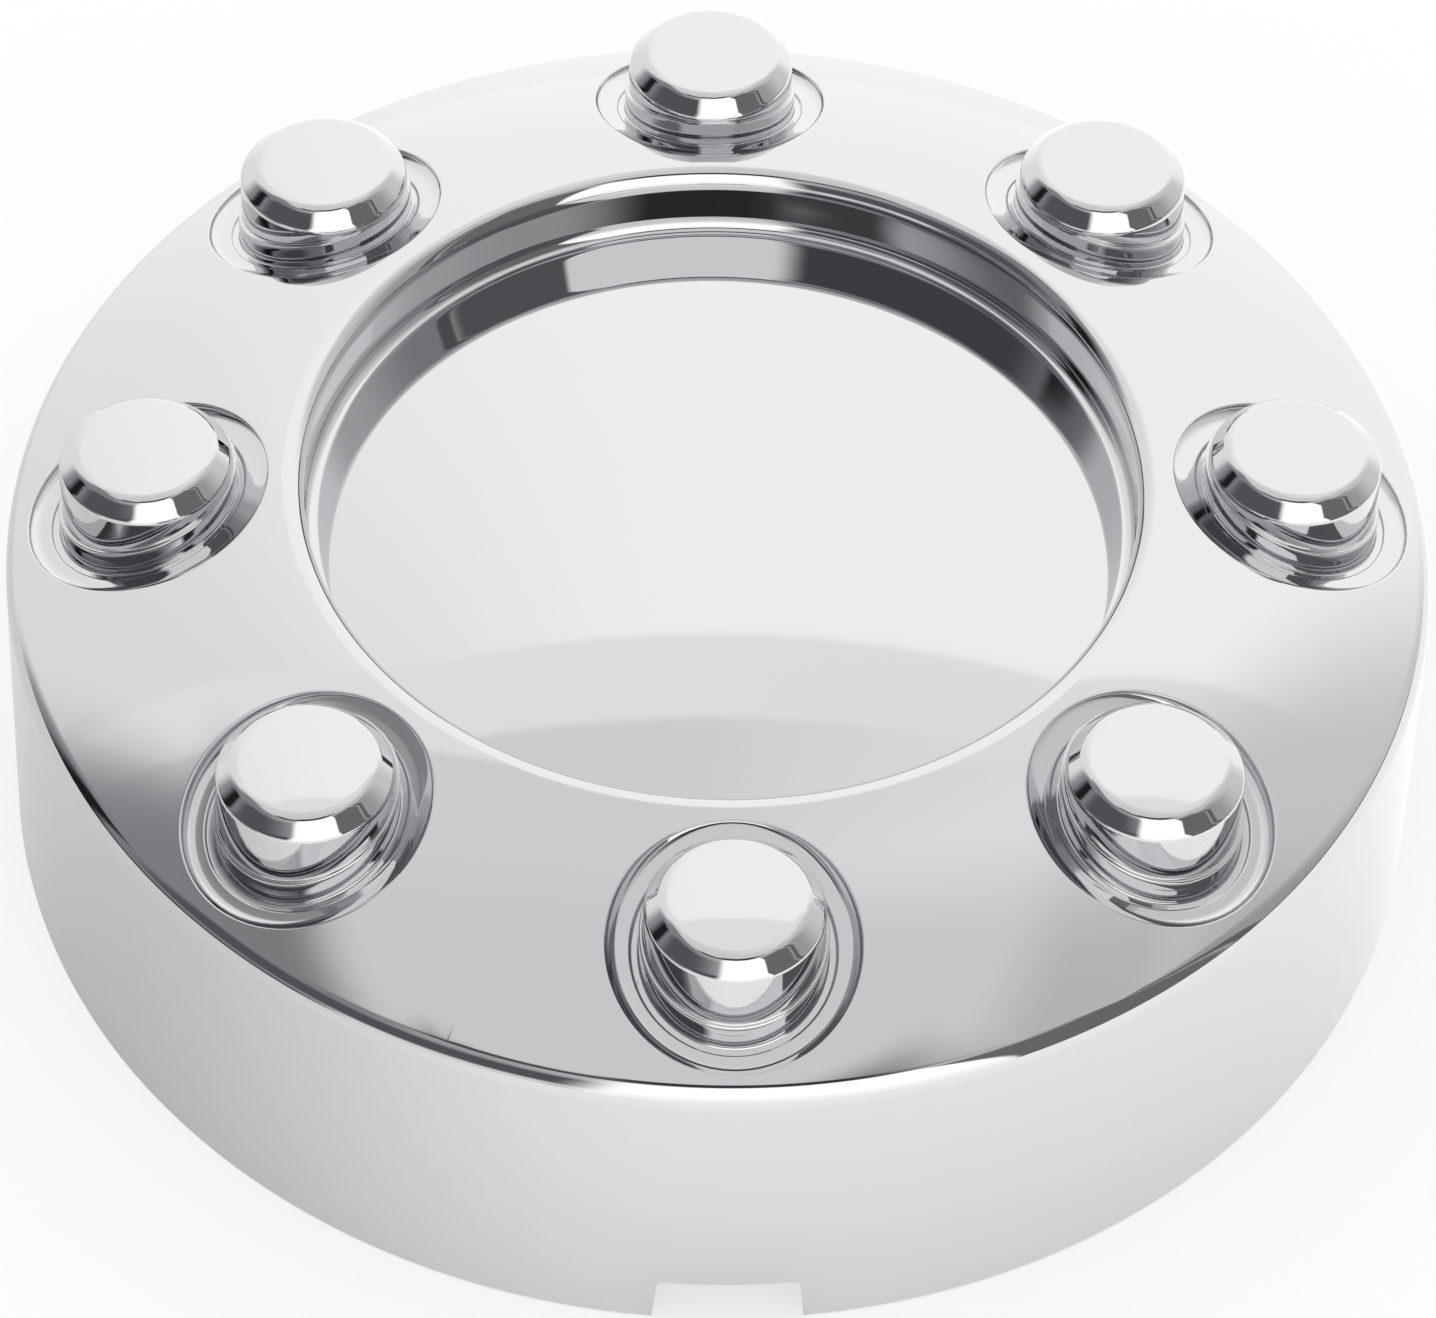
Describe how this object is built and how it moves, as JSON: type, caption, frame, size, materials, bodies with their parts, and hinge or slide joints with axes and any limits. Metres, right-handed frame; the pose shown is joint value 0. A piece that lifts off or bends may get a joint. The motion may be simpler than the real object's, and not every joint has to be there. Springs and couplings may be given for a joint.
{
  "type": "wheel center cap",
  "caption": "Chrome-plated center cap for a truck wheel: a deep skirt, a sloping face with a ring of domed lug covers in stepped pockets, and a dished centre.",
  "frame": {"origin": "centre of the rim that seats on the wheel, in the plane of its lowest edge", "axes": "+Z out of the wheel along the cap's axis, -Y towards the pry notch and the lug cover in line with it"},
  "size_m": [0.2532, 0.253, 0.0818],
  "materials": {
    "chrome_plating": "mirror chrome plating on moulded ABS"
  },
  "bodies": {
    "root": {"center_cap": "chrome_plating"}
  },
  "joints": []
}
